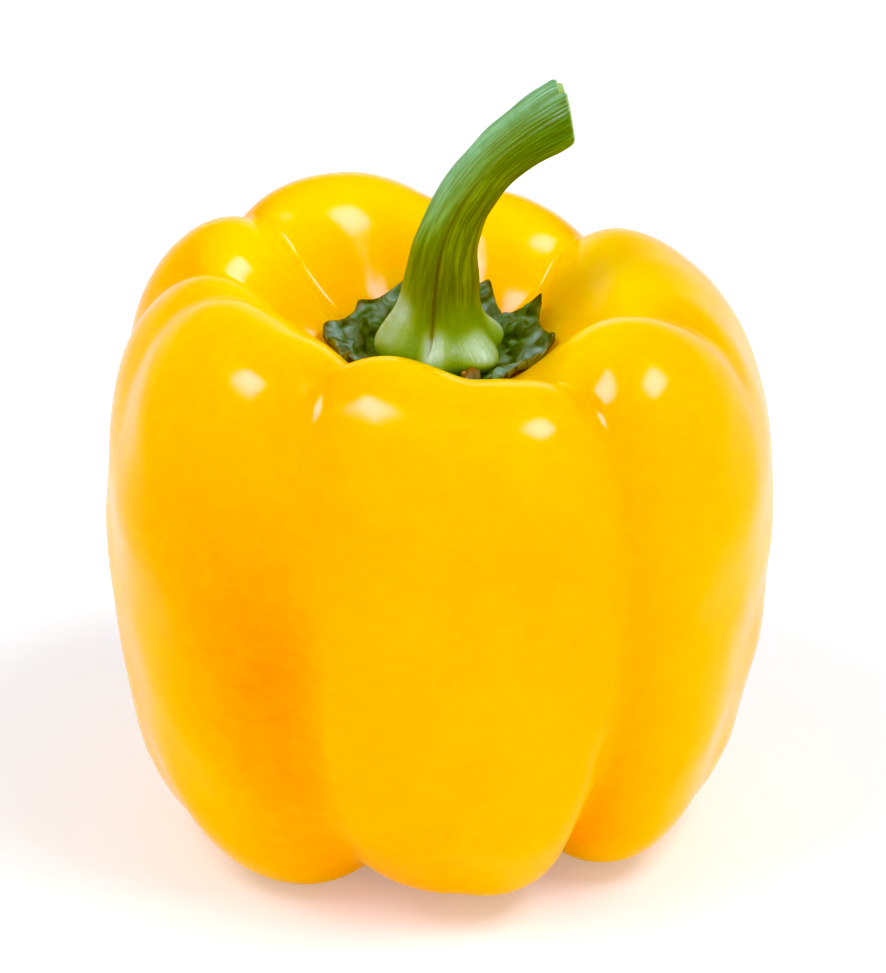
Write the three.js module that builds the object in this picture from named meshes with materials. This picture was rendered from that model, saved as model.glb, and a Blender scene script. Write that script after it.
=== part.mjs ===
// A yellow bell pepper standing on its lobes: the fruit, the green calyx in its dimple and the cut stem.
//
// Millimetres, +Z up. The origin is on the surface that the pepper stands on, under the middle of the
// fruit's box. Azimuths are degrees about the growth axis, from the front (-Y) towards the right (+X).

import * as THREE from 'three';
import { ParametricGeometry } from 'three/addons/geometries/ParametricGeometry.js';
import { mergeVertices } from 'three/addons/utils/BufferGeometryUtils.js';

// Colours and finishes
const YELLOW = '#ffbe00';
const DARK_GREEN = '#4c5f36';
const STEM_GREEN = '#6a8426';
const WAXY = { roughness: 0.28, metalness: 0 };
const LEATHERY = { roughness: 0.65, metalness: 0 };
const FIBROUS = { roughness: 0.5, metalness: 0 };

// Growth axis of the fruit, measured from the middle of its box
const AXIS_X = -0.3;
const AXIS_Y = 1.1;

// Bulges of the fruit wall. side is the widest radius, crest the height of the crest, crestRadius and
// footRadius where crest and foot stand, belly the extra fullness low on the side, and shoulder the
// extra fullness just under the crest.
const BULGES = [
  { azimuth: -50, side: 44.5, crest: 83, crestRadius: 31, footRadius: 25, belly: 1, shoulder: 3 },
  { azimuth: -10, side: 43, crest: 85, crestRadius: 27.5, footRadius: 15.5, belly: -1, shoulder: 0 },
  { azimuth: 14, side: 42.5, crest: 76.5, crestRadius: 35, footRadius: 16.5, belly: 1, shoulder: 2.5 },
  { azimuth: 45, side: 44, crest: 83.5, crestRadius: 30, footRadius: 24, belly: 0.5, shoulder: 3 },
  { azimuth: 110, side: 43, crest: 79.5, crestRadius: 29, footRadius: 23.5, belly: 1.5, shoulder: 0 },
  { azimuth: 160, side: 43, crest: 80.5, crestRadius: 30.5, footRadius: 22, belly: 0.5, shoulder: 0 },
  { azimuth: -151, side: 43, crest: 83.5, crestRadius: 28.5, footRadius: 22, belly: 0.5, shoulder: 0 },
  { azimuth: -113, side: 45, crest: 85, crestRadius: 32.5, footRadius: 23, belly: 0.5, shoulder: 0 },
  { azimuth: -85, side: 42.8, crest: 81.5, crestRadius: 29.5, footRadius: 23.5, belly: 2.5, shoulder: 0 },
];
const BULGE_FOCUS = 9;

// Grooves between the bulges: azimuth at the shoulder and at the foot, depth at the shoulder, on the
// side and at the foot, and how many degrees the hollow spreads.
const GROOVES = [
  { shoulder: -25, foot: -23, shoulderDepth: 4.5, sideDepth: 2.8, footDepth: 4.5, spread: 13 },
  { shoulder: 8, foot: 6, shoulderDepth: 1, sideDepth: 0.2, footDepth: 1, spread: 12 },
  { shoulder: 33, foot: 38, shoulderDepth: 4, sideDepth: 3.2, footDepth: 8.5, spread: 7 },
  { shoulder: 70, foot: 69, shoulderDepth: 4, sideDepth: 0.5, footDepth: 1.5, spread: 12 },
  { shoulder: 141, foot: 141, shoulderDepth: 6, sideDepth: 2.5, footDepth: 4, spread: 14 },
  { shoulder: 181, foot: 180, shoulderDepth: 5, sideDepth: 2.5, footDepth: 3, spread: 13 },
  { shoulder: -128, foot: -128, shoulderDepth: 5, sideDepth: 2.5, footDepth: 3.5, spread: 12 },
  { shoulder: -96, foot: -97, shoulderDepth: 4.5, sideDepth: 1.5, footDepth: 3.5, spread: 9 },
  { shoulder: -73, foot: -65, shoulderDepth: 2, sideDepth: 0.5, footDepth: 2.5, spread: 9 },
];
const SHARP_CREASE = 2;
const SOFT_CREASE = 4;

// Outline of a typical lobe from the blossom end, round the foot, up the side, over the shoulder and
// down into the dimple: radius and height of each station.
const OUTLINE = [
  [0, 6.5], [6, 6.3], [13, 2.2], [20.5, -2.4], [29.5, -0.5], [37, 8], [41.6, 21], [43.8, 37.5], [44.7, 54],
  [43, 69], [37.4, 79.5], [29.5, 83.4], [22.3, 81], [17.3, 75.8], [13, 70], [6, 67.2], [0, 66.8],
];
const TYPICAL = { side: 43, crest: 80.5, crestRadius: 29, footRadius: 20.5 };
const STATIONS = OUTLINE.length - 1;

// Calyx: a thick saucer with a flat seat for the stem and a rim drawn out into teeth
const SEAT_HEIGHT = 68.9;
const SEAT_RADIUS = 9.5;
const MOAT_WIDTH = 2;
const UNDER_GAP = 0.5;
const FLESH = 1.8;
const RIM_THICKNESS = 1;
const RIM_RADIUS = 12.4;
const CRUMPLE = 0.3;
const CRUMPLE_WAVES = 11;
const TOOTH_SPREAD = 11;
const TOOTH_ROUNDING = 1.5;
const TEETH = [
  { azimuth: -99, reach: 2.7, lift: 0.8 },
  { azimuth: -132, reach: 1.5, lift: 1 },
  { azimuth: -166, reach: 1.8, lift: 1.6 },
  { azimuth: 153, reach: 2.8, lift: 2.7 },
  { azimuth: 118, reach: 3, lift: 1.9 },
  { azimuth: 83, reach: 3, lift: 0.4 },
  { azimuth: 40, reach: 1.2, lift: 0.2 },
  { azimuth: -8, reach: 1.6, lift: 0.2 },
  { azimuth: -54, reach: 1.8, lift: 0.3 },
];

// Stem: points of its centre line, evenly spaced, and its outline from the middle of its foot to the
// middle of its cut. Each station of the outline gives the radius between the ribs, the height along
// the centre line and how far the ribs stand out, as a share of that radius. A rib swells into a
// knuckle at its own height, by a share of the radius too.
const STEM_LINE = [
  [0.5, 0, 69.2], [0.5, 0, 74.4], [0.6, 0, 79.6], [1, 0.1, 84.8], [2.4, 0.3, 89.7],
  [4.9, 0.6, 93.9], [8, 1, 97.7], [12.1, 1.5, 101], [17, 2, 103.8],
];
const STEM_LENGTH = 42;
const STEM_OUTLINE = [
  [0, 0, 0.08], [3.6, 0, 0.08], [6.2, 0, 0.1], [7, 0.8, 0.12], [7.1, 2.4, 0.12], [6.2, 4.2, 0.1],
  [5.2, 5.9, 0.1], [4.8, 8.9, 0.1], [4.4, 13, 0.1], [3.8, 18, 0.1], [3.5, 24, 0.1], [3.4, 30, 0.1],
  [3.6, 35, 0.1], [4.1, 39, 0.1], [4.2, 41.8, 0.1], [3.4, 42, 0.1], [0, 42, 0.1],
];
const RIBS = [
  { azimuth: -74, spread: 24, knuckle: 0.32, height: 5.2, reach: 3.4 },
  { azimuth: -8, spread: 15, knuckle: 0.18, height: 3, reach: 2.4 },
  { azimuth: 46, spread: 24, knuckle: 0.24, height: 2.4, reach: 2.2 },
  { azimuth: 115, spread: 22, knuckle: 0.16, height: 2.6, reach: 2.4 },
  { azimuth: -150, spread: 22, knuckle: 0.18, height: 3.8, reach: 3 },
];
const CUT_NORMAL = new THREE.Vector3(0.98, 0.1, 0.17).normalize();
const CUT_BEGINS = 30;

// Columns round each piece and rows from its lower pole to its upper pole
const FRUIT_GRID = { columns: 80, rows: 46 };
const CALYX_GRID = { columns: 72, rows: 14 };
const STEM_GRID = { columns: 30, rows: 40 };

const { clamp, degToRad, euclideanModulo, lerp, smoothstep } = THREE.MathUtils;

// Degrees between two azimuths, at most 180
function apart(first, second) {
  return Math.abs(euclideanModulo(first - second + 180, 360) - 180);
}

// Smooth hump of height 1 round a middle
function hump(x, middle, reach) {
  return Math.exp(-(((x - middle) / reach) ** 2));
}

// Hump of height 1 over an angle, with a crest as sharp as its rounding is small
function ridge(angle, rounding, spread) {
  return Math.exp(-(Math.hypot(angle, rounding) - rounding) / spread);
}

// Place and slope of a uniform cubic B-spline for t from 0 to 1
function spline(points, t) {
  const spans = points.length - 3;
  const place = clamp(t, 0, 1) * spans;
  const first = Math.min(Math.floor(place), spans - 1);
  const u = place - first;
  const weights = [(1 - u) ** 3, 3 * u ** 3 - 6 * u ** 2 + 4, 3 * (u + u ** 2 - u ** 3) + 1, u ** 3];
  const slopes = [-((1 - u) ** 2), 3 * u ** 2 - 4 * u, 1 + 2 * u - 3 * u ** 2, u ** 2];
  const blend = (factors, share, axis) =>
    factors.reduce((sum, factor, i) => sum + factor * share * points[first + i][axis], 0);
  const axes = points[0].map((value, axis) => axis);
  return {
    place: axes.map((axis) => blend(weights, 1 / 6, axis)),
    slope: axes.map((axis) => blend(slopes, 1 / 2, axis)),
  };
}

// Adds one point before and one after, so that the spline starts and ends on the first and last
function withEnds(points) {
  const beyond = (end, next) => end.map((value, axis) => 2 * value - next[axis]);
  return [beyond(points[0], points[1]), ...points, beyond(points.at(-1), points.at(-2))];
}

// The same for a line that crosses the growth axis at both ends, where it has to be level
function withPoles(points) {
  const mirrored = ([radius, ...others]) => [-radius, ...others];
  return [mirrored(points[1]), ...points, mirrored(points.at(-2))];
}

// Sizes of the fruit at an azimuth: those of the bulges, weighted by how near they are
function bulgeAt(azimuth) {
  const mix = { side: 0, crest: 0, crestRadius: 0, footRadius: 0, belly: 0, shoulder: 0 };
  const weights = BULGES.map((bulge) =>
    Math.exp(BULGE_FOCUS * (Math.cos(degToRad(azimuth - bulge.azimuth)) - 1)));
  const total = weights.reduce((sum, weight) => sum + weight, 0);
  for (const size of Object.keys(mix)) {
    BULGES.forEach((bulge, i) => {
      mix[size] += bulge[size] * weights[i] / total;
    });
  }
  return mix;
}

// Outline of the fruit at an azimuth, before the grooves
function outlineAt(azimuth) {
  const bulge = bulgeAt(azimuth);
  return OUTLINE.map(([radius, height], station) => {
    if (station === 0 || station === STATIONS) {
      return [radius, height];
    }
    const raised = smoothstep(station, 7, 11) * (1 - smoothstep(station, 12.5, 15));
    return [
      radius
        + hump(station, 8, 2.6) * (bulge.side - TYPICAL.side)
        + hump(station, 11.5, 2) * (bulge.crestRadius - TYPICAL.crestRadius)
        + hump(station, 3.4, 1.5) * (bulge.footRadius - TYPICAL.footRadius)
        + hump(station, 5.3, 1.4) * bulge.belly
        + hump(station, 9.4, 1.5) * bulge.shoulder,
      height + raised * (bulge.crest - TYPICAL.crest),
    ];
  });
}

// Depth of the grooves at an azimuth and a station of the outline
function grooveDepth(azimuth, station) {
  const onShoulder = smoothstep(station, 7.5, 11) * (1 - smoothstep(station, 12.8, 15.3));
  const onFoot = smoothstep(station, 0.6, 2.5) * (1 - smoothstep(station, 3.8, 7.2));
  const onSide = smoothstep(station, 3.5, 6.5) * (1 - smoothstep(station, 7.5, 11));
  const rounding = lerp(SOFT_CREASE, SHARP_CREASE, Math.max(onShoulder, onFoot));
  const rise = smoothstep(station, 3, 11);
  return GROOVES.reduce((sum, groove) => {
    const middle = lerp(groove.foot, groove.shoulder, rise);
    const depth = groove.shoulderDepth * onShoulder + groove.sideDepth * onSide + groove.footDepth * onFoot;
    return sum + depth * ridge(apart(azimuth, middle), rounding, groove.spread);
  }, 0);
}

// Radius and height of the fruit's skin, for t from 0 at the blossom end to 1 at the stem end
function skin(azimuth, t) {
  const { place, slope } = spline(withPoles(outlineAt(azimuth)), t);
  const depth = grooveDepth(azimuth, t * STATIONS) / Math.hypot(...slope);
  return [place[0] - slope[1] * depth, place[1] + slope[0] * depth];
}

// Height of the dimple's wall at a radius, found by halving the stretch that it lies in
function dimpleHeight(azimuth, radius) {
  let [outer, inner] = [0.7, 1];
  for (let step = 0; step < 24; step += 1) {
    const middle = (outer + inner) / 2;
    if (skin(azimuth, middle)[0] > radius) {
      outer = middle;
    } else {
      inner = middle;
    }
  }
  return skin(azimuth, inner)[1];
}

// Point at an azimuth, radius and height about the growth axis
function aboutAxis(azimuth, radius, height, target) {
  const angle = degToRad(azimuth);
  return target.set(radius * Math.sin(angle), -radius * Math.cos(angle), height);
}

// The fruit's surface, pressed flat where its feet meet the ground
function fruitSurface(azimuth, t, target) {
  const [radius, height] = skin(azimuth, t);
  return aboutAxis(azimuth, radius, Math.max(height, 0), target);
}

// The calyx's surface: out along its underside, over the rim and back in along its upper side
function calyxSurface(azimuth, t, target) {
  const near = TEETH.map((tooth) => ridge(apart(azimuth, tooth.azimuth), TOOTH_ROUNDING, TOOTH_SPREAD));
  const rim = RIM_RADIUS + TEETH.reduce((sum, tooth, i) => sum + tooth.reach * near[i], 0);
  const share = 1 - Math.abs(2 * t - 1);
  const radius = rim * Math.sin(share * Math.PI / 2);
  const curl = TEETH.reduce((sum, tooth, i) => sum + tooth.lift * near[i], 0)
    * smoothstep(radius, SEAT_RADIUS + 1, rim);
  const under = dimpleHeight(azimuth, radius) + UNDER_GAP + curl;
  if (t <= 0.5) {
    return aboutAxis(azimuth, radius, under, target);
  }
  const wall = under + lerp(FLESH, RIM_THICKNESS, smoothstep(radius, SEAT_RADIUS, rim));
  const outside = smoothstep(radius, SEAT_RADIUS, SEAT_RADIUS + MOAT_WIDTH);
  const folds = CRUMPLE * Math.sin(CRUMPLE_WAVES * degToRad(azimuth) + radius);
  return aboutAxis(azimuth, radius, lerp(SEAT_HEIGHT, wall + folds, outside), target);
}

// The stem's surface: out under its foot, up its ribbed side and in across the cut
function stemSurface(azimuth, t, target) {
  const [radius, height, rib] = spline(withPoles(STEM_OUTLINE), t).place;
  const { place, slope } = spline(withEnds(STEM_LINE), height / STEM_LENGTH);
  const along = new THREE.Vector3(...slope).normalize();
  const right = new THREE.Vector3().crossVectors(along, new THREE.Vector3(0, -1, 0)).normalize();
  const front = new THREE.Vector3().crossVectors(right, along);
  const ribs = RIBS.reduce((sum, one) => {
    const swelling = rib + one.knuckle * hump(height, one.height, one.reach);
    return sum + swelling * hump(apart(azimuth, one.azimuth), 0, one.spread);
  }, 0);
  const angle = degToRad(azimuth);
  const spoke = right.multiplyScalar(Math.sin(angle)).addScaledVector(front, Math.cos(angle));
  spoke.multiplyScalar(radius * (1 + ribs));
  const slant = -spoke.dot(CUT_NORMAL) / along.dot(CUT_NORMAL) * smoothstep(height, CUT_BEGINS, STEM_LENGTH);
  return target.set(...place).add(spoke).addScaledVector(along, slant);
}

// Closed body of a surface that runs round the growth axis from a lower to an upper pole. The seam
// and the poles are welded, and the triangles that the poles squeeze to nothing are left out.
function closedBody(surface, { columns, rows }) {
  const point = (u, v, target) => surface(360 * (u % 1), v, target);
  const sheet = new ParametricGeometry(point, columns, rows);
  sheet.deleteAttribute('normal');
  sheet.deleteAttribute('uv');
  const body = mergeVertices(sheet);
  const corners = body.index.array;
  const kept = [];
  for (let i = 0; i < corners.length; i += 3) {
    const [a, b, c] = corners.slice(i, i + 3);
    if (a !== b && b !== c && c !== a) {
      kept.push(a, b, c);
    }
  }
  body.setIndex(kept);
  body.computeVertexNormals();
  return body;
}

function piece(name, surface, grid, color, finish) {
  const material = new THREE.MeshStandardMaterial({ color, ...finish });
  const mesh = new THREE.Mesh(closedBody(surface, grid), material);
  mesh.name = name;
  return mesh;
}

const pepper = new THREE.Group();
pepper.add(piece('fruit', fruitSurface, FRUIT_GRID, YELLOW, WAXY));
pepper.add(piece('calyx', calyxSurface, CALYX_GRID, DARK_GREEN, LEATHERY));
pepper.add(piece('stem', stemSurface, STEM_GRID, STEM_GREEN, FIBROUS));
pepper.position.set(AXIS_X, AXIS_Y, 0);

export default pepper;
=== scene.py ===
"""A yellow bell pepper that stands on its lobes, on the pale floor of a softly lit studio.

The fruit, the calyx in its dimple and the cut stem are dense closed skins. Each is worked out from a few
driving sizes by a formula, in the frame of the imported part: the origin is on the floor under the middle
of the fruit, +Z runs up the growth axis and -Y points to the viewer of the photograph.
Sizes are in millimetres up to the point where a mesh is made, which is in metres. Azimuths are degrees
about the growth axis, from the front (-Y) towards the right (+X).
"""

from __future__ import annotations

import logging
import math
from dataclasses import dataclass, field
from enum import Enum

import bpy
import numpy as np
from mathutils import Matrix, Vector

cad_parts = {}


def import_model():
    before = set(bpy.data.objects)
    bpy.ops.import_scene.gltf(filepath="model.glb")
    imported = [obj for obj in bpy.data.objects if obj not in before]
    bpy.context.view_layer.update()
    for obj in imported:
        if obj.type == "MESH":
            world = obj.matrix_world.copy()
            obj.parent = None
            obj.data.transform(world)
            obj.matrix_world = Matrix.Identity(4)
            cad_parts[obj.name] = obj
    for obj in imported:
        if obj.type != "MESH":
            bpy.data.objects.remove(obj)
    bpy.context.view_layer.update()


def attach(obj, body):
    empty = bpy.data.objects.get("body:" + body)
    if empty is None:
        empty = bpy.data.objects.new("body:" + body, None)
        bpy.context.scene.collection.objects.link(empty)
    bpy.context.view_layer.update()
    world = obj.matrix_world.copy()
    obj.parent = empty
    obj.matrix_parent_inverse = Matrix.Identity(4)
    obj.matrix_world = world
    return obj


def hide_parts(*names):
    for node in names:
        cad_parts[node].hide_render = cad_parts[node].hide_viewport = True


LOG = logging.getLogger("bell_pepper")
MM = 0.001
FULL_TURN = 360.0
HALF_TURN = 180.0

Socket = bpy.types.NodeSocket
Colour = tuple[float, float, float, float]
Zone = tuple[float, float]


class Solid(Enum):
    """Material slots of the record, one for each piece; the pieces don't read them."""

    FRUIT = "fruit"
    CALYX = "calyx"
    STEM = "stem"


class Slot(Enum):
    """Material slots of the record that the pieces take their finish from."""

    SKIN = "fruit_skin"
    CALYX = "calyx_flesh"
    STEM = "stem_fibre"


class Mask(Enum):
    """Values kept on the vertices of a piece, which its finish reads."""

    # This mask places painted shade in the grooves.
    GROOVE_SHADE = "groove"
    # This mask places painted light from above on the crests.
    CREST_LIGHT = "crest"
    BLUSH = "blush"
    SCAR = "scar"
    TIP = "tip"
    EDGE = "edge"
    # This mask places pale waxy bloom with a painted highlight on the knuckles.
    WAX_HIGHLIGHT = "wax_highlight"
    STRAND = "strand"
    # This mask also places painted highlights on the puckers and painted shade in the folds.
    FOLD = "fold"
    FLARE = "flare"
    UNDERSIDE = "underside"
    # This mask places painted light on the upper side of the stem.
    LIT_UPPER_SIDE = "upper_side"
    SEAM = "seam"
    CUT = "cut"
    NEAR_TIP = "near_tip"


def smooth(x: np.ndarray, low: float, high: np.ndarray | float) -> np.ndarray:
    """Rise from 0 at low to 1 at high, level at both ends.

    Args:
        x: Values to judge.
        low: Where the rise starts.
        high: Where it ends.

    Returns:
        Array of the shape of x, from 0 to 1.
    """
    t = np.clip((x - low) / (high - low), 0.0, 1.0)
    return t * t * (3.0 - 2.0 * t)


def plateau(x: np.ndarray, begins: Zone, ends: Zone) -> np.ndarray:
    """Rise from 0 to 1 over one zone and fall back over another.

    Args:
        x: Values to judge.
        begins: Where it starts to rise and is 1.
        ends: Where it starts to fall and is 0.

    Returns:
        Array of the shape of x, from 0 to 1.
    """
    return smooth(x, *begins) * (1 - smooth(x, *ends))


def hump(x: np.ndarray, middle: float, reach: np.ndarray | float) -> np.ndarray:
    """Bell of height 1.

    Args:
        x: Values to judge.
        middle: Where the bell is 1.
        reach: Distance from the middle at which it has fallen to 1/e.

    Returns:
        Array of the shape of x, from 0 to 1.
    """
    return np.exp(-(((x - middle) / reach) ** 2))


def ridge(angle: np.ndarray, rounding: np.ndarray | float, spread: float) -> np.ndarray:
    """Crest of height 1 over an angle, as sharp as its rounding is small.

    Args:
        angle: Degrees from the middle of the crest.
        rounding: Degrees over which the crest is rounded.
        spread: Degrees over which it falls to 1/e.

    Returns:
        Array of the shape of angle, from 0 to 1.
    """
    return np.exp(-(np.hypot(angle, rounding) - rounding) / spread)


def beyond(first: np.ndarray, second: np.ndarray | float) -> np.ndarray:
    """Degrees from one azimuth on to another.

    Args:
        first: Azimuths.
        second: Azimuths to compare them with.

    Returns:
        Angles from -180 to 180, positive towards the right.
    """
    return (first - second + HALF_TURN) % FULL_TURN - HALF_TURN


def apart(first: np.ndarray, second: np.ndarray | float) -> np.ndarray:
    """Degrees between azimuths, from 0 to 180."""
    return np.abs(beyond(first, second))


def b_spline(points: np.ndarray, t: np.ndarray) -> tuple[np.ndarray, np.ndarray]:
    """Follow a uniform cubic B-spline.

    Args:
        points: Control points along the first axis.
        t: Places along the line, from 0 to 1.

    Returns:
        Points on the line and its slopes there, one row for each t.
    """
    spans = len(points) - 3
    place = np.clip(t, 0.0, 1.0) * spans
    first = np.clip(np.floor(place).astype(int), 0, spans - 1)
    u = (place - first).reshape((-1,) + (1,) * (points.ndim - 1))
    weights = ((1 - u) ** 3, 3 * u**3 - 6 * u**2 + 4, 3 * (u + u**2 - u**3) + 1, u**3)
    slopes = (-((1 - u) ** 2), 3 * u**2 - 4 * u, 1 + 2 * u - 3 * u**2, u**2)
    line = sum(weight / 6 * points[first + i] for i, weight in enumerate(weights))
    slope = sum(weight / 2 * points[first + i] for i, weight in enumerate(slopes))
    return line, slope


def with_poles(points: np.ndarray) -> np.ndarray:
    """Extend a profile that crosses its axis at both ends, where it has to be level.

    Args:
        points: Profile whose first value in each point is the radius.

    Returns:
        The profile with a mirrored point before and after it.
    """
    mirror = np.ones(points.shape[-1])
    mirror[0] = -1.0
    return np.concatenate([points[1:2] * mirror, points, points[-2:-1] * mirror])


def with_ends(points: np.ndarray) -> np.ndarray:
    """Extend a line so that its spline starts and ends on the first and last point.

    Args:
        points: Points of an open line.

    Returns:
        The line with one point more at each end.
    """
    before = 2 * points[:1] - points[1:2]
    after = 2 * points[-1:] - points[-2:-1]
    return np.concatenate([before, points, after])


def spread_out(columns: int, rows: int) -> tuple[np.ndarray, np.ndarray]:
    """Spread columns over a full turn, and rows over an outline.

    Args:
        columns: Number of columns.
        rows: Number of rows, besides the first.

    Returns:
        Degrees of each column, and places from 0 to 1, one row each.
    """
    return np.arange(columns) * (FULL_TURN / columns), np.linspace(0.0, 1.0, rows + 1)[:, None]


@dataclass(frozen=True)
class Ripples:
    """Smooth random relief, the sum of plane waves that cross each other.

    Attributes:
        seed: Start of the random draw.
        shortest: Shortest wave in millimetres.
        longest: Longest wave in millimetres.
        height: Typical height in millimetres.
        waves: How many waves there are.
    """

    seed: int
    shortest: float
    longest: float
    height: float
    waves: int = 22

    def at(self, points: np.ndarray) -> np.ndarray:
        """Work out the relief.

        Args:
            points: Places in millimetres, with x, y and z along the last axis.

        Returns:
            Heights in millimetres, positive and negative.
        """
        random = np.random.default_rng(self.seed)
        directions = random.normal(size=(self.waves, 3))
        directions /= np.linalg.norm(directions, axis=1, keepdims=True)
        lengths = random.uniform(self.shortest, self.longest, self.waves)
        phases = random.uniform(0.0, 2 * math.pi, self.waves)
        turns = directions * (2 * math.pi / lengths)[:, None]
        crests = np.sin(points @ turns.T + phases).sum(axis=-1)
        return self.height * crests / math.sqrt(self.waves / 2)


@dataclass
class Skin:
    """Closed skin of points that runs round an axis from a lower to an upper pole.

    Attributes:
        points: Millimetres, one row for each ring, one column for each azimuth.
        masks: Values from 0 to 1 for the finish to read, of the same rows and columns.
        strands: Coordinates that follow the fibres, where the finish needs them.
    """

    points: np.ndarray
    masks: dict[Mask, np.ndarray] = field(default_factory=dict)
    strands: np.ndarray | None = None

    def normals(self) -> np.ndarray:
        """Directions that point out of the skin.

        Returns:
            Unit vectors, one for each point.
        """
        around = np.roll(self.points, -1, axis=1) - np.roll(self.points, 1, axis=1)
        upward = np.gradient(self.points, axis=0)
        normals = np.cross(around, upward)
        normals[0] = (0.0, 0.0, -1.0)
        normals[-1] = normals[-2].mean(axis=0)
        return normals / np.maximum(np.linalg.norm(normals, axis=-1, keepdims=True), 1e-9)

    def raise_by(self, heights: np.ndarray) -> None:
        """Move the points out along the normals.

        Args:
            heights: Millimetres for each point.
        """
        fade = np.ones(len(self.points))
        fade[0] = 0.0
        fade[-1] = 0.0
        self.points = self.points + self.normals() * (heights * fade[:, None])[..., None]

    def to_object(self, name: str) -> bpy.types.Object:
        """Make the mesh in metres, with its masks, and link it to the scene.

        Args:
            name: Name of the object and of its mesh.

        Returns:
            The new object, which sits at the origin.
        """
        rings, columns = self.points.shape[:2]
        middle = self.points[1:-1].reshape(-1, 3)
        corners = np.concatenate([self.points[:1, 0], middle, self.points[-1:, 0]]) * MM
        ring = np.arange(columns)
        following = np.roll(ring, -1)
        first = 1 + np.arange(rings - 3)[:, None] * columns
        quads = np.stack(
            [first + ring, first + following, first + columns + following, first + columns + ring],
            axis=-1,
        )
        last = 1 + (rings - 3) * columns
        top = len(corners) - 1
        faces = [(0, 1 + b, 1 + a) for a, b in zip(ring, following)]
        faces += quads.reshape(-1, 4).tolist()
        faces += [(top, last + a, last + b) for a, b in zip(ring, following)]
        mesh = bpy.data.meshes.new(name)
        mesh.from_pydata(corners.tolist(), [], faces)
        mesh.shade_smooth()
        for mask, values in self.masks.items():
            flat = np.concatenate([values[:1, 0], values[1:-1].ravel(), values[-1:, 0]])
            attribute = mesh.attributes.new(mask.value, "FLOAT", "POINT")
            attribute.data.foreach_set("value", flat.astype(np.float32))
        if self.strands is not None:
            inner = self.strands[1:-1].reshape(-1, 3)
            flat = np.concatenate([self.strands[:1, 0], inner, self.strands[-1:, 0]])
            attribute = mesh.attributes.new(Mask.STRAND.value, "FLOAT_VECTOR", "POINT")
            attribute.data.foreach_set("vector", flat.astype(np.float32).ravel())
        piece = bpy.data.objects.new(name, mesh)
        bpy.context.scene.collection.objects.link(piece)
        return piece


def dress(
    skin: Skin, name: str, finish: bpy.types.Material, solid: Solid
) -> bpy.types.Object:
    """Make a piece of a skin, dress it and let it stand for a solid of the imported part.

    Args:
        skin: The closed skin.
        name: Name of the piece.
        finish: Material that it wears.
        solid: Solid that it replaces.

    Returns:
        The piece.
    """
    piece = skin.to_object(name)
    piece.data.materials.append(finish)
    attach(piece, "root")
    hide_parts(solid.value)
    return piece


@dataclass(frozen=True)
class Bulge:
    """One bulge of the fruit wall.

    Attributes:
        azimuth: Where it stands.
        side: Widest radius.
        crest: Height of its shoulder.
        crest_radius: Where the shoulder is highest.
        foot_radius: Where the foot is lowest.
        belly: Extra fullness low on the side.
        shoulder: Extra fullness just under the crest.
    """

    azimuth: float
    side: float
    crest: float
    crest_radius: float
    foot_radius: float
    belly: float
    shoulder: float = 0.0


@dataclass(frozen=True)
class Groove:
    """One groove between two bulges.

    Attributes:
        shoulder: Azimuth at the shoulder.
        foot: Azimuth at the foot.
        shoulder_depth: Depth at the shoulder.
        side_depth: Depth on the side.
        foot_depth: Depth at the foot.
        spread: Degrees that the hollow spreads to each side.
    """

    shoulder: float
    foot: float
    shoulder_depth: float
    side_depth: float
    foot_depth: float
    spread: float


@dataclass(frozen=True)
class Blush:
    """Patch of skin that ripened to a deeper colour.

    Attributes:
        azimuth: Middle of the patch.
        height: Height of its middle.
        width: Degrees from the middle to its edge.
        reach: Millimetres from the middle to its upper and lower edge.
        strength: How deep the colour is, from 0 to 1.
        limit: Azimuth of the groove that it stops at, if any.
    """

    azimuth: float
    height: float
    width: float
    reach: float
    strength: float
    limit: float | None = None


def about_axis(
    azimuths: np.ndarray, radii: np.ndarray, heights: np.ndarray, axis: tuple[float, float]
) -> np.ndarray:
    """Place points about the growth axis.

    Args:
        azimuths: Degrees.
        radii: Millimetres from the axis.
        heights: Millimetres above the floor.
        axis: Where the growth axis stands, as x and y.

    Returns:
        Points with x, y and z along the last axis.
    """
    angle = np.radians(azimuths)
    x = axis[0] + radii * np.sin(angle)
    y = axis[1] - radii * np.cos(angle)
    return np.stack(np.broadcast_arrays(x, y, heights), axis=-1)


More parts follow.
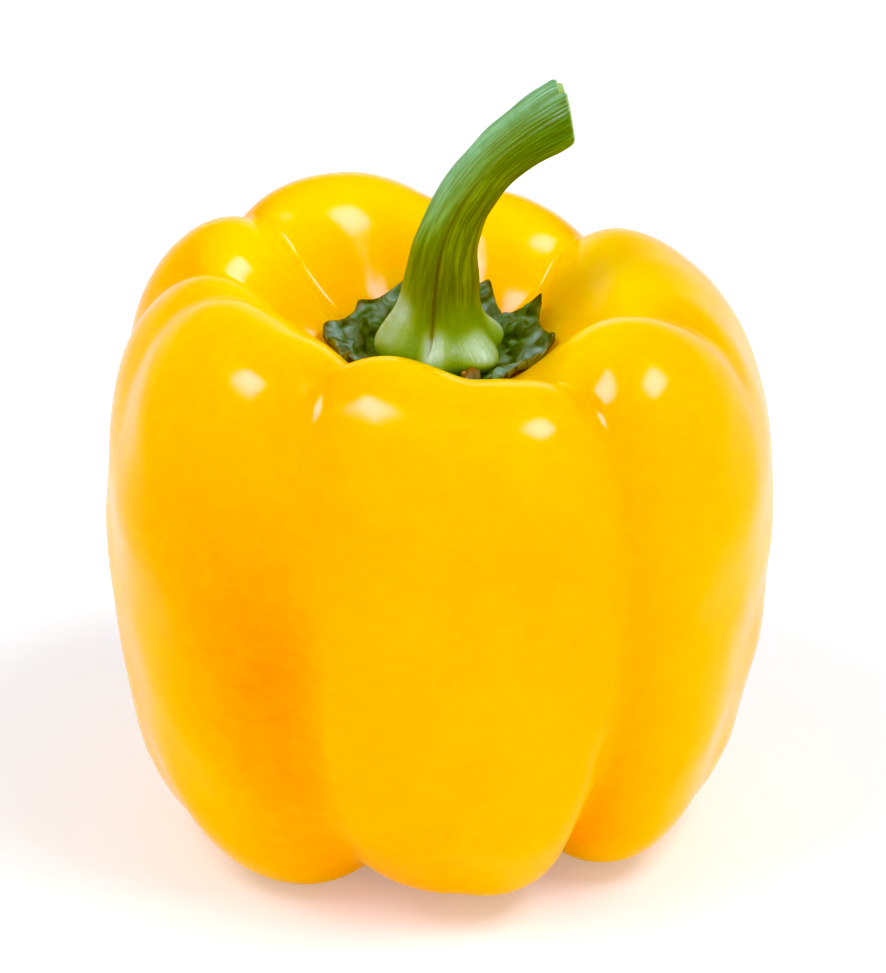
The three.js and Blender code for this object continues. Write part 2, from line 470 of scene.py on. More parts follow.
@dataclass
class Fruit:
    """The fruit wall: bulges, the grooves between them, the dimple, the feet and the blossom end.

    The first five zones have a middle and a reach, the others a begin and an end. They are in stations,
    which number the points of the outline from the blossom end, except calm_pole and crest_light_ring, which
    are millimetres from the axis, blush_margin in degrees and scar_end as a share of the outline.
    """

    axis: tuple[float, float] = (-0.3, 1.1)
    columns: int = 420
    rows: int = 300
    bulges: tuple[Bulge, ...] = (
        Bulge(-50, side=44.5, crest=83, crest_radius=31, foot_radius=25, belly=1, shoulder=3),
        Bulge(-10, side=43, crest=85, crest_radius=27.5, foot_radius=15.5, belly=-1),
        Bulge(14, side=42.5, crest=76.5, crest_radius=35, foot_radius=16.5, belly=1, shoulder=2.5),
        Bulge(45, side=44, crest=83.5, crest_radius=30, foot_radius=24, belly=0.5, shoulder=3),
        Bulge(110, side=43, crest=79.5, crest_radius=29, foot_radius=23.5, belly=1.5),
        Bulge(160, side=43, crest=80.5, crest_radius=30.5, foot_radius=22, belly=0.5),
        Bulge(-151, side=43, crest=83.5, crest_radius=28.5, foot_radius=22, belly=0.5),
        Bulge(-113, side=45, crest=85, crest_radius=32.5, foot_radius=23, belly=0.5),
        Bulge(-85, side=42.8, crest=81.5, crest_radius=29.5, foot_radius=23.5, belly=2.5),
    )
    bulge_focus: float = 9.0
    grooves: tuple[Groove, ...] = (
        Groove(-25, -23, shoulder_depth=4.5, side_depth=2.8, foot_depth=4.5, spread=13),
        Groove(8, 6, shoulder_depth=1, side_depth=0.2, foot_depth=1, spread=12),
        Groove(33, 38, shoulder_depth=4, side_depth=3.2, foot_depth=8.5, spread=7),
        Groove(70, 69, shoulder_depth=4, side_depth=0.5, foot_depth=1.5, spread=12),
        Groove(141, 141, shoulder_depth=6, side_depth=2.5, foot_depth=4, spread=14),
        Groove(181, 180, shoulder_depth=5, side_depth=2.5, foot_depth=3, spread=13),
        Groove(-128, -128, shoulder_depth=5, side_depth=2.5, foot_depth=3.5, spread=12),
        Groove(-96, -97, shoulder_depth=4.5, side_depth=1.5, foot_depth=3.5, spread=9),
        Groove(-73, -65, shoulder_depth=2, side_depth=0.5, foot_depth=2.5, spread=9),
    )
    sharp_crease: float = 2.0
    soft_crease: float = 4.0
    outline: tuple[tuple[float, float], ...] = (
        (0, 6.5), (6, 6.3), (13, 2.2), (20.5, -2.4), (29.5, -0.5), (37, 8), (41.6, 21), (43.8, 37.5),
        (44.7, 54), (43, 69), (37.4, 79.5), (29.5, 83.4), (22.3, 81), (17.3, 75.8), (13, 70),
        (6, 67.2), (0, 66.8),
    )
    side_zone: Zone = (8.0, 2.6)
    crest_zone: Zone = (11.5, 2.0)
    foot_zone: Zone = (3.4, 1.5)
    belly_zone: Zone = (5.3, 1.4)
    shoulder_zone: Zone = (9.4, 1.5)
    upper_zone: Zone = (7.0, 11.0)
    dimple_zone: Zone = (12.5, 15.0)
    groove_at_foot: Zone = (0.6, 2.5)
    groove_past_foot: Zone = (3.8, 7.2)
    groove_at_side: Zone = (3.5, 6.5)
    groove_at_shoulder: Zone = (7.5, 11.0)
    groove_in_dimple: Zone = (12.8, 15.3)
    groove_turn: Zone = (3.0, 11.0)
    typical_side: float = 43.0
    typical_crest: float = 80.5
    typical_crest_radius: float = 29.0
    typical_foot_radius: float = 20.5
    dents: Ripples = Ripples(seed=11, shortest=14, longest=34, height=0.2)
    unevenness: Ripples = Ripples(seed=12, shortest=4, longest=9, height=0.018)
    calm_pole: Zone = (2.0, 12.0)
    wall_from: float = 0.7
    wall_steps: int = 240
    # Painted shade in the grooves: full at this depth, and gone beyond these stations.
    full_groove_shade: float = 6.0
    groove_shade_ends: Zone = (10.5, 12.0)
    # Painted light from above on the crests and upper dimple walls: from these stations and these radii.
    crest_light_begins: Zone = (10.3, 12.0)
    crest_light_ring: Zone = (17.0, 26.0)
    blush_ends: Zone = (12.0, 14.0)
    blush_margin: Zone = (-3.0, 4.0)
    scar_end: Zone = (0.05, 0.12)
    scar_core: float = 0.35
    scar_radius: float = 2.6
    scar_height: float = 0.5
    blushes: tuple[Blush, ...] = (
        Blush(-31, height=38, width=14, reach=24, strength=0.95, limit=-20),
        Blush(-52, height=58, width=20, reach=22, strength=0.4),
        Blush(-14, height=5, width=26, reach=14, strength=0.75),
        Blush(38, height=20, width=9, reach=22, strength=0.25),
        Blush(128, height=34, width=20, reach=24, strength=0.6),
        Blush(-150, height=26, width=16, reach=20, strength=0.5),
    )

    def outlines(self, azimuths: np.ndarray) -> np.ndarray:
        """Outlines of the fruit before the grooves are pressed in.

        Args:
            azimuths: Degrees, one for each outline.

        Returns:
            Radius and height for each station and azimuth.
        """
        leaning = [np.cos(np.radians(azimuths - bulge.azimuth)) - 1 for bulge in self.bulges]
        weights = np.exp(self.bulge_focus * np.array(leaning))
        weights /= weights.sum(axis=0)

        def mixed(size: str) -> np.ndarray:
            """Mix one size of the bulges by how near they are."""
            return np.array([getattr(bulge, size) for bulge in self.bulges]) @ weights

        base = np.array(self.outline, dtype=float)
        station = np.arange(len(base), dtype=float)[:, None]
        inner = np.ones((len(base), 1))
        inner[0] = 0.0
        inner[-1] = 0.0
        upper = plateau(station, self.upper_zone, self.dimple_zone)
        radius = base[:, :1] + inner * (
            hump(station, *self.side_zone) * (mixed("side") - self.typical_side)
            + hump(station, *self.crest_zone) * (mixed("crest_radius") - self.typical_crest_radius)
            + hump(station, *self.foot_zone) * (mixed("foot_radius") - self.typical_foot_radius)
            + hump(station, *self.belly_zone) * mixed("belly")
            + hump(station, *self.shoulder_zone) * mixed("shoulder")
        )
        height = base[:, 1:] + inner * upper * (mixed("crest") - self.typical_crest)
        return np.stack([radius, height], axis=-1)

    def groove_depths(self, azimuths: np.ndarray, station: np.ndarray) -> np.ndarray:
        """Depth of the grooves.

        Args:
            azimuths: Degrees, along the last axis.
            station: Places along the outline, one row each.

        Returns:
            Millimetres for each station and azimuth.
        """
        on_shoulder = plateau(station, self.groove_at_shoulder, self.groove_in_dimple)
        on_foot = plateau(station, self.groove_at_foot, self.groove_past_foot)
        on_side = plateau(station, self.groove_at_side, self.groove_at_shoulder)
        sharpness = np.maximum(on_shoulder, on_foot)
        rounding = self.soft_crease + (self.sharp_crease - self.soft_crease) * sharpness
        rise = smooth(station, *self.groove_turn)
        total = np.zeros(np.broadcast_shapes(azimuths.shape, station.shape))
        for groove in self.grooves:
            middle = groove.foot + (groove.shoulder - groove.foot) * rise
            depth = (
                groove.shoulder_depth * on_shoulder
                + groove.side_depth * on_side
                + groove.foot_depth * on_foot
            )
            total = total + depth * ridge(apart(azimuths, middle), rounding, groove.spread)
        return total

    def profiles(self, azimuths: np.ndarray, t: np.ndarray) -> np.ndarray:
        """Radius and height of the skin.

        Args:
            azimuths: Degrees.
            t: Places from 0 at the blossom end to 1 at the stem end.

        Returns:
            Radius and height along the last axis, for each t and azimuth.
        """
        line, slope = b_spline(with_poles(self.outlines(azimuths)), t)
        outward = np.stack([slope[..., 1], -slope[..., 0]], axis=-1)
        outward /= np.linalg.norm(outward, axis=-1, keepdims=True)
        station = t[:, None] * (len(self.outline) - 1)
        return line - outward * self.groove_depths(azimuths, station)[..., None]

    def dimple_heights(self, azimuths: np.ndarray, radii: np.ndarray) -> np.ndarray:
        """Height of the dimple's wall.

        Args:
            azimuths: Degrees, one for each column of radii.
            radii: Millimetres from the growth axis, one row for each ring.

        Returns:
            Millimetres above the floor, of the shape of radii.
        """
        wall = self.profiles(azimuths, np.linspace(1.0, self.wall_from, self.wall_steps))
        heights = np.empty_like(radii)
        for column in range(len(azimuths)):
            heights[:, column] = np.interp(radii[:, column], wall[:, column, 0], wall[:, column, 1])
        return heights

    def skin(self) -> Skin:
        """Work out the whole skin with its dents and its masks.

        Returns:
            The closed skin.
        """
        azimuths, t = spread_out(self.columns, self.rows)
        profile = self.profiles(azimuths, t[:, 0])
        radius, height = profile[..., 0], profile[..., 1]
        skin = Skin(about_axis(azimuths, radius, height, self.axis))
        scar = 1 - smooth(radius, self.scar_core * self.scar_radius, self.scar_radius)
        scar = scar * (1 - smooth(t, *self.scar_end))
        relief = self.dents.at(skin.points) + self.unevenness.at(skin.points)
        skin.raise_by(relief * smooth(radius, *self.calm_pole) + self.scar_height * scar)
        skin.points[..., 2] = np.maximum(skin.points[..., 2], 0.0)
        station = t * (len(self.outline) - 1)
        blush = np.zeros_like(radius)
        for patch in self.blushes:
            across = hump(apart(azimuths, patch.azimuth), 0, patch.width)
            if patch.limit is not None:
                across = across * (1 - smooth(beyond(azimuths, patch.limit), *self.blush_margin))
            blush += patch.strength * across * hump(height, patch.height, patch.reach)
        outside = 1 - smooth(station, *self.blush_ends)
        # Painted shade: the grooves are tinted a deeper orange, the more the deeper they are.
        shaded_grooves = np.clip(self.groove_depths(azimuths, station) / self.full_groove_shade, 0, 1)
        skin.masks = {
            Mask.GROOVE_SHADE: shaded_grooves * (1 - smooth(station, *self.groove_shade_ends)),
            # Painted light: lemon on the crests and upper dimple walls, where light from above falls.
            Mask.CREST_LIGHT: smooth(station, *self.crest_light_begins) * smooth(radius, *self.crest_light_ring),
            Mask.BLUSH: np.clip(blush * outside, 0, 1),
            Mask.SCAR: scar,
        }
        return skin

    def build(self) -> bpy.types.Object:
        """Make the fruit and dress it in waxy yellow."""
        return dress(self.skin(), "fruit_skin", SkinFinish().material(), Solid.FRUIT)


@dataclass(frozen=True)
class Tooth:
    """One tooth of the calyx.

    Attributes:
        azimuth: Where it points.
        reach: How far it stands out of the rim.
        lift: How far its tip curls up from the fruit.
    """

    azimuth: float
    reach: float
    lift: float


@dataclass
class Calyx:
    """The green saucer in the dimple, with a flat seat for the stem and a rim drawn out into teeth.

    The tip and edge zones are shares of the rim's radius, and top_begins is one of the outline.
    """

    fruit: Fruit
    columns: int = 420
    rows: int = 160
    seat_height: float = 68.9
    seat_radius: float = 9.5
    moat_width: float = 2.0
    under_gap: float = 0.5
    flesh: float = 1.8
    rim_thickness: float = 1.0
    rim_radius: float = 12.4
    crumple: float = 0.3
    crumple_waves: int = 11
    tooth_spread: float = 11.0
    tooth_rounding: float = 1.5
    teeth: tuple[Tooth, ...] = (
        Tooth(-99, reach=2.7, lift=0.8),
        Tooth(-132, reach=1.5, lift=1),
        Tooth(-166, reach=1.8, lift=1.6),
        Tooth(153, reach=2.8, lift=2.7),
        Tooth(118, reach=3, lift=1.9),
        Tooth(83, reach=3, lift=0.4),
        Tooth(40, reach=1.2, lift=0.2),
        Tooth(-8, reach=1.6, lift=0.2),
        Tooth(-54, reach=1.8, lift=0.3),
    )
    curl_radius: float = 10.5
    top_begins: Zone = (0.5, 0.56)
    flat_seat: Zone = (6.0, 9.0)
    puckers: Ripples = Ripples(seed=21, shortest=1.6, longest=4.2, height=0.2)
    pucker_gain: float = 1.6
    wrinkles: Ripples = Ripples(seed=22, shortest=0.6, longest=1.3, height=0.035)
    scab_azimuth: float = 28.0
    scab_radius: float = 10.1
    scab_spread: tuple[float, float] = (10.0, 0.8)
    scab_height: float = 1.9
    scab_edge: Zone = (0.25, 0.7)
    crust: Ripples = Ripples(seed=23, shortest=0.5, longest=1.2, height=0.14)
    pointed: Zone = (0.72, 0.95)
    tip_zone: Zone = (0.92, 0.99)
    edge_zone: Zone = (0.95, 1.0)

    def skin(self) -> Skin:
        """Work out the saucer's underside, rim and wrinkled upper side.

        Returns:
            The closed skin.
        """
        azimuths, t = spread_out(self.columns, self.rows)
        near = [ridge(apart(azimuths, tooth.azimuth), self.tooth_rounding, self.tooth_spread)
                for tooth in self.teeth]
        rim = self.rim_radius + sum(tooth.reach * share for tooth, share in zip(self.teeth, near))
        lift = sum(tooth.lift * share for tooth, share in zip(self.teeth, near))
        radius = rim * np.sin((1 - np.abs(2 * t - 1)) * math.pi / 2)
        curl = lift * smooth(radius, self.curl_radius, rim)
        under = self.fruit.dimple_heights(azimuths, radius) + self.under_gap + curl
        thinning = smooth(radius, self.seat_radius, rim)
        thickness = self.flesh + (self.rim_thickness - self.flesh) * thinning
        folds = self.crumple * np.sin(self.crumple_waves * np.radians(azimuths) + radius)
        outside = smooth(radius, self.seat_radius, self.seat_radius + self.moat_width)
        upper = self.seat_height + (under + thickness + folds - self.seat_height) * outside
        on_top = smooth(t, *self.top_begins)
        height = np.where(t <= self.top_begins[0], under, upper)
        skin = Skin(about_axis(azimuths, radius, height, self.fruit.axis))
        puckers = self.puckers.at(skin.points)
        across, outward = self.scab_spread
        scab = hump(apart(azimuths, self.scab_azimuth), 0, across) * hump(radius, self.scab_radius, outward)
        crust = self.crust.at(skin.points)
        scab = smooth(scab * on_top + crust / 2, *self.scab_edge)
        crumples = np.abs(puckers) * self.pucker_gain - self.puckers.height + self.wrinkles.at(skin.points)
        crumples = crumples * on_top * smooth(radius, *self.flat_seat)
        skin.raise_by(crumples + scab * (self.scab_height + crust))
        pointed = smooth(np.max(near, axis=0), *self.pointed)
        skin.masks = {
            Mask.TIP: pointed * smooth(radius / rim, *self.tip_zone),
            Mask.EDGE: smooth(radius / rim, *self.edge_zone),
            Mask.FOLD: np.clip(0.5 - puckers / (3 * self.puckers.height), 0, 1),
            Mask.SCAR: scab,
        }
        return skin

    def build(self) -> bpy.types.Object:
        """Make the calyx and dress it in leathery green."""
        return dress(self.skin(), "calyx_star", CalyxFinish().material(), Solid.CALYX)


@dataclass(frozen=True)
class Rib:
    """One rib of the stem, with the knuckle that it ends in.

    Attributes:
        azimuth: Where it runs.
        spread: Degrees over which it falls to 1/e.
        knuckle: How far it swells at its foot, as a share of the radius.
        height: Height of the knuckle along the stem.
        reach: Millimetres along the stem over which the knuckle falls to 1/e.
        wax_highlight: How much pale waxy bloom and painted highlight the knuckle wears.
    """

    azimuth: float
    spread: float
    knuckle: float
    height: float
    reach: float
    wax_highlight: float = 1.0


@dataclass
class Stem:
    """The cut stem: a knuckled foot, a ribbed shaft that bends to the right, and the cut.

    Its zones are millimetres along the stem, but cut_zone and fibre_zones are shares of the outline.
    """

    axis: tuple[float, float]
    columns: int = 300
    rows: int = 420
    line: tuple[tuple[float, float, float], ...] = (
        (0.5, 0, 69.2), (0.5, 0, 74.4), (0.6, 0, 79.6), (1, 0.1, 84.8), (2.4, 0.3, 89.7),
        (4.9, 0.6, 93.9), (8, 1, 97.7), (12.1, 1.5, 101), (17, 2, 103.8),
    )
    length: float = 42.0
    outline: tuple[tuple[float, float, float], ...] = (
        (0, 0, 0.08), (3.6, 0, 0.08), (6.2, 0, 0.1), (7, 0.8, 0.12), (7.1, 2.4, 0.12), (6.2, 4.2, 0.1),
        (5.2, 5.9, 0.1), (4.8, 8.9, 0.1), (4.4, 13, 0.1), (3.8, 18, 0.1), (3.5, 24, 0.1), (3.4, 30, 0.1),
        (3.6, 35, 0.1), (4.1, 39, 0.1), (4.2, 41.8, 0.1), (3.4, 42, 0.1), (0, 42, 0.1),
    )
    ribs: tuple[Rib, ...] = (
        Rib(-74, spread=24, knuckle=0.32, height=5.2, reach=3.4, wax_highlight=1.9),
        Rib(-8, spread=15, knuckle=0.18, height=3, reach=2.4, wax_highlight=0.95),
        Rib(46, spread=24, knuckle=0.24, height=2.4, reach=2.2, wax_highlight=0.75),
        Rib(115, spread=22, knuckle=0.16, height=2.6, reach=2.4),
        Rib(-150, spread=22, knuckle=0.18, height=3.8, reach=3),
    )
    cut_normal: tuple[float, float, float] = (0.98, 0.1, 0.17)
    cut_begins: float = 30.0
    cut_zone: Zone = (0.885, 0.905)
    foot_zone: Zone = (5.0, 12.0)
    near_tip: Zone = (26.0, 40.0)
    fibres: int = 34
    fibre_height: float = 0.045
    fibre_zones: tuple[Zone, Zone] = ((0.1, 0.3), (0.9, 0.93))
    fibre_sway: float = 0.9
    sway_length: float = 7.0
    bundles: int = 13
    bundle_turn: float = 2.0
    coarser: float = 1.2
    coarser_zone: Zone = (24.0, 38.0)
    streak_length: float = 10.0
    waviness: Ripples = Ripples(seed=31, shortest=3, longest=9, height=0.06)
    wavy_zones: tuple[Zone, Zone] = ((1.0, 5.0), (39.0, 41.0))
    tear: float = 0.9
    tear_azimuth: float = -100.0
    tear_margin: Zone = (44.0, 52.0)
    tear_begins: float = 39.5
    tear_radius: float = 2.5
    seam_azimuth: float = -12.0
    seam_depth: float = 0.28
    seam_rounding: float = 1.0
    seam_spread: float = 4.0
    seam_zones: tuple[Zone, Zone] = ((3.0, 6.0), (24.0, 32.0))
    # Where the pale waxy bloom and its painted highlight sit on each knuckle.
    wax_highlight_spread: float = 0.9
    wax_highlight_rise: float = 1.0
    wax_highlight_zone: Zone = (0.6, 2.2)
    # Where the painted light on the upper side of the stem falls.
    upper_azimuth: float = -80.0
    upper_spread: float = 58.0
    upper_narrowing: float = 22.0
    narrowing_zone: Zone = (28.0, 38.0)
    upper_zone: Zone = (12.0, 26.0)
    under_azimuth: float = 95.0
    under_spread: float = 45.0
    under_zone: Zone = (6.0, 22.0)

    def surface(self, azimuths: np.ndarray, outline: np.ndarray) -> np.ndarray:
        """Place the foot, the ribbed shaft and the cut, without their fine relief.

        Args:
            azimuths: Degrees about the line of the stem.
            outline: Radius, place along the stem and ribbing of each ring.

        Returns:
            Points with x, y and z along the last axis.
        """
        radius, height, rib = (outline[:, i, None] for i in range(3))
        place, slope = b_spline(with_ends(np.array(self.line)), height[:, 0] / self.length)
        along = slope / np.linalg.norm(slope, axis=1, keepdims=True)
        right = np.cross(along, (0.0, -1.0, 0.0))
        right /= np.linalg.norm(right, axis=1, keepdims=True)
        front = np.cross(right, along)
        angle = np.radians(azimuths)
        swelling = sum(
            (rib + one.knuckle * hump(height, one.height, one.reach))
            * hump(apart(azimuths, one.azimuth), 0, one.spread)
            for one in self.ribs
        )
        spokes = right[:, None] * np.sin(angle)[:, None] + front[:, None] * np.cos(angle)[:, None]
        spokes = spokes * (radius * (1 + swelling))[..., None]
        cut = np.array(self.cut_normal) / np.linalg.norm(self.cut_normal)
        tilt = (spokes @ cut) / (along @ cut)[:, None]
        slant = -tilt * smooth(height, self.cut_begins, self.length)
        torn = 1 - smooth(apart(azimuths, self.tear_azimuth), *self.tear_margin)
        torn = torn * smooth(height, self.tear_begins, self.length) * smooth(radius, 0, self.tear_radius)
        slant = slant - self.tear * torn
        return place[:, None] + spokes + along[:, None] * slant[..., None] + np.array((*self.axis, 0.0))

    def masks(self, azimuths: np.ndarray, height: np.ndarray, t: np.ndarray) -> dict[Mask, np.ndarray]:
        """Say where the finish changes.

        Args:
            azimuths: Degrees about the line of the stem.
            height: Millimetres along the stem, one row each.
            t: Places along the outline from 0 to 1, one row each.

        Returns:
            Values from 0 to 1 for each height and azimuth.
        """
        # Pale waxy bloom with a painted highlight on the knuckles.
        knuckles = sum(
            one.wax_highlight
            * hump(apart(azimuths, one.azimuth), 0, self.wax_highlight_spread * one.spread)
            * hump(height, one.height + self.wax_highlight_rise, one.reach)
            for one in self.ribs
        )
        seam = ridge(apart(azimuths, self.seam_azimuth), self.seam_rounding, self.seam_spread)
        spread = self.upper_spread - self.upper_narrowing * smooth(height, *self.narrowing_zone)
        upper = hump(apart(azimuths, self.upper_azimuth), 0, spread)
        under = hump(apart(azimuths, self.under_azimuth), 0, self.under_spread)
        found = {
            Mask.WAX_HIGHLIGHT: np.clip(knuckles, 0, 1) * smooth(height, *self.wax_highlight_zone),
            Mask.FLARE: 1 - smooth(height, *self.foot_zone),
            Mask.SEAM: seam * plateau(height, *self.seam_zones),
            Mask.CUT: smooth(t, *self.cut_zone),
            Mask.NEAR_TIP: smooth(height, *self.near_tip),
            # Painted light falls on the upper side.
            Mask.LIT_UPPER_SIDE: upper * smooth(height, *self.upper_zone),
            Mask.UNDERSIDE: under * smooth(height, *self.under_zone),
        }
        shape = (len(t), len(azimuths))
        return {mask: np.broadcast_to(values, shape) for mask, values in found.items()}

    def skin(self) -> Skin:
        """Work out the stem with its fibres, its seam and its masks.

        Returns:
            The closed skin.
        """
        azimuths, t = spread_out(self.columns, self.rows)
        outline = b_spline(with_poles(np.array(self.outline, dtype=float)), t[:, 0])[0]
        height = outline[:, 1, None]
        skin = Skin(self.surface(azimuths, outline))
        skin.masks = self.masks(azimuths, height, t)
        angle = np.radians(azimuths)
        sway = self.fibre_sway * np.sin(height / self.sway_length)
        strands = np.sin(self.fibres * angle + sway) * np.sin(self.bundles * angle + self.bundle_turn)
        strands = strands * smooth(height, *self.foot_zone) * plateau(t, *self.fibre_zones)
        coarser = 1 + self.coarser * smooth(height, *self.coarser_zone)
        relief = self.waviness.at(skin.points) * plateau(height, *self.wavy_zones)
        relief = relief + self.fibre_height * coarser * strands
        skin.raise_by(relief - self.seam_depth * skin.masks[Mask.SEAM])
        along = np.broadcast_arrays(np.sin(angle), np.cos(angle), height / self.streak_length)
        skin.strands = np.stack(along, axis=-1)
        return skin

    def build(self) -> bpy.types.Object:
        """Make the stem and dress it in fibrous green."""
        return dress(self.skin(), "stem_stalk", StemFinish().material(), Solid.STEM)


def linear(code: str) -> Colour:
    """Turn a display colour into a scene colour.

    Args:
        code: Six hexadecimal digits, as on a colour chart.

    Returns:
        Linear red, green and blue, and an alpha of 1.
    """
    values = [int(code[i:i + 2], 16) / 255 for i in (0, 2, 4)]
    red, green, blue = (v / 12.92 if v <= 0.04045 else ((v + 0.055) / 1.055) ** 2.4 for v in values)
    return red, green, blue, 1.0


class Graph:
    """A node tree that is being wired."""

    def __init__(self, tree: bpy.types.NodeTree) -> None:
        """Keep the tree."""
        self.tree = tree

    def add(
        self, kind: str, values: dict[str | int, object] | None = None, **settings: object
    ) -> bpy.types.Node:
        """Add a node.

        Args:
            kind: Type name of the node.
            values: Sockets by name or number, each with a value or with the socket that feeds it.
            **settings: Properties of the node.

        Returns:
            The new node.
        """
        node = self.tree.nodes.new(kind)
        for name, setting in settings.items():
            setattr(node, name, setting)
        for key, value in (values or {}).items():
            if isinstance(value, Socket):
                self.tree.links.new(value, node.inputs[key])
            else:
                node.inputs[key].default_value = value
        return node

    def mask(self, mask: Mask) -> Socket:
        """Read a mask off the vertices."""
        return self.add("ShaderNodeAttribute", attribute_name=mask.value).outputs["Fac"]

    def math(self, operation: str, *values: object) -> Socket:
        """Combine numbers.

        Args:
            operation: Name of the operation.
            *values: Numbers or sockets.

        Returns:
            The result.
        """
        node = self.add("ShaderNodeMath", dict(enumerate(values)), operation=operation)
        return node.outputs[0]

    def times(self, first: object, second: object) -> Socket:
        """Multiply two numbers or sockets."""
        return self.math("MULTIPLY", first, second)

    def plus(self, first: object, second: object) -> Socket:
        """Add two numbers or sockets."""
        return self.math("ADD", first, second)

    def minus(self, first: object, second: object) -> Socket:
        """Take the second number or socket from the first."""
        return self.math("SUBTRACT", first, second)

    def feed(self, node: bpy.types.Node, name: str, value: Socket) -> None:
        """Link a value to an input of a node."""
        self.tree.links.new(value, node.inputs[name])

    def mix(self, share: object, first: object, second: object) -> Socket:
        """Mix two colours.

        Args:
            share: Share of the second, from 0 to 1, as a number or socket.
            first: Colour or socket.
            second: Colour or socket.

        Returns:
            The mixed colour.
        """
        node = self.add("ShaderNodeMix", {0: share, 6: first, 7: second}, data_type="RGBA")
        return node.outputs[2]

    def stretch(self, value: Socket, low: object, high: object) -> Socket:
        """Spread the values between low and high over 0 to 1."""
        node = self.add("ShaderNodeMapRange", {0: value, 1: low, 2: high}, interpolation_type="SMOOTHSTEP")
        return node.outputs[0]


def shared_group(
    name: str, inputs: dict[str, float], output: str
) -> tuple[Graph, dict[str, Socket], bpy.types.Node]:
    """Start a node group that several finishes use.

    Args:
        name: Name of the group.
        inputs: Numbers that the group takes, each with its usual value, after a vector.
        output: Name of the number that the group gives.

    Returns:
        The graph to wire, the sockets that it takes and the node that it gives them to.
    """
    tree = bpy.data.node_groups.new(name, "ShaderNodeTree")
    tree.interface.new_socket("Vector", in_out="INPUT", socket_type="NodeSocketVector")
    for key, value in inputs.items():
        socket = tree.interface.new_socket(key, in_out="INPUT", socket_type="NodeSocketFloat")
        socket.default_value = value
    tree.interface.new_socket(output, in_out="OUTPUT", socket_type="NodeSocketFloat")
    graph = Graph(tree)
    entry = graph.add("NodeGroupInput")
    leave = graph.add("NodeGroupOutput")
    return graph, {socket.name: socket for socket in entry.outputs}, leave


def mottle_group(times_finer: float = 4.3, small_share: float = 0.35) -> bpy.types.NodeTree:
    """Cloudy patches of two sizes, for flesh that didn't ripen or grow evenly.

    Args:
        times_finer: How many times finer the small patches are.
        small_share: Share of the small patches, from 0 to 1.

    Returns:
        The node group, made at its first use.
    """
    if "mottle" in bpy.data.node_groups:
        return bpy.data.node_groups["mottle"]
    graph, given, leave = shared_group("mottle", {"Scale": 100.0, "Softness": 0.2}, "Mask")
    place, scale = given["Vector"], given["Scale"]
    large = graph.add("ShaderNodeTexNoise", {"Vector": place, "Scale": scale, "Detail": 2.0})
    finer = graph.times(scale, times_finer)
    small = graph.add("ShaderNodeTexNoise", {"Vector": place, "Scale": finer, "Detail": 3.0})
    large_part = graph.times(large.outputs[0], 1 - small_share)
    both = graph.plus(large_part, graph.times(small.outputs[0], small_share))
    low = graph.minus(0.5, given["Softness"])
    high = graph.plus(0.5, given["Softness"])
    graph.feed(leave, "Mask", graph.stretch(both, low, high))
    return graph.tree


def grain_group(swell_scale: float = 0.28, swell_share: float = 0.6) -> bpy.types.NodeTree:
    """Fine cells of plant skin, as a height.

    Args:
        swell_scale: Scale of the swells, as a share of the scale of the cells.
        swell_share: Share of the swells in the height, from 0 to 1.

    Returns:
        The node group, made at its first use.
    """
    if "cell_grain" in bpy.data.node_groups:
        return bpy.data.node_groups["cell_grain"]
    graph, given, leave = shared_group("cell_grain", {"Scale": 1000.0}, "Height")
    place, scale = given["Vector"], given["Scale"]
    cells = graph.add("ShaderNodeTexVoronoi", {"Vector": place, "Scale": scale})
    coarse = graph.times(scale, swell_scale)
    swells = graph.add("ShaderNodeTexNoise", {"Vector": place, "Scale": coarse, "Detail": 2.0})
    cell_part = graph.times(cells.outputs["Distance"], 1 - swell_share)
    graph.feed(leave, "Height", graph.plus(cell_part, graph.times(swells.outputs[0], swell_share)))
    return graph.tree


def started_material(name: str) -> tuple[Graph, bpy.types.Node, Socket, bpy.types.Material]:
    """Start a material with a Principled shader.

    Args:
        name: Name of the material.

    Returns:
        The graph, the shader, the place on the object in metres, and the material.
    """
    material = bpy.data.materials.new(name)
    material.use_nodes = True
    graph = Graph(material.node_tree)
    shader = graph.tree.nodes["Principled BSDF"]
    place = graph.add("ShaderNodeTexCoord").outputs["Object"]
    return graph, shader, place, material


def placed_group(graph: Graph, tree: bpy.types.NodeTree, values: dict[str, object]) -> Socket:
    """Place a shared group in a material and give its first output."""
    node = graph.add("ShaderNodeGroup", dict(values), node_tree=tree)
    return node.outputs[0]


def clouded(graph: Graph, place: Socket, scale: float, softness: float) -> Socket:
    """Place the shared cloudy patches in a material."""
    return placed_group(graph, mottle_group(), {"Vector": place, "Scale": scale, "Softness": softness})


def roughened(graph: Graph, shader: bpy.types.Node, height: Socket, strength: float, depth: float) -> None:
    """Give a shader fine bumps."""
    bump = graph.add("ShaderNodeBump", {"Height": height, "Strength": strength, "Distance": depth})
    graph.feed(shader, "Normal", bump.outputs[0])


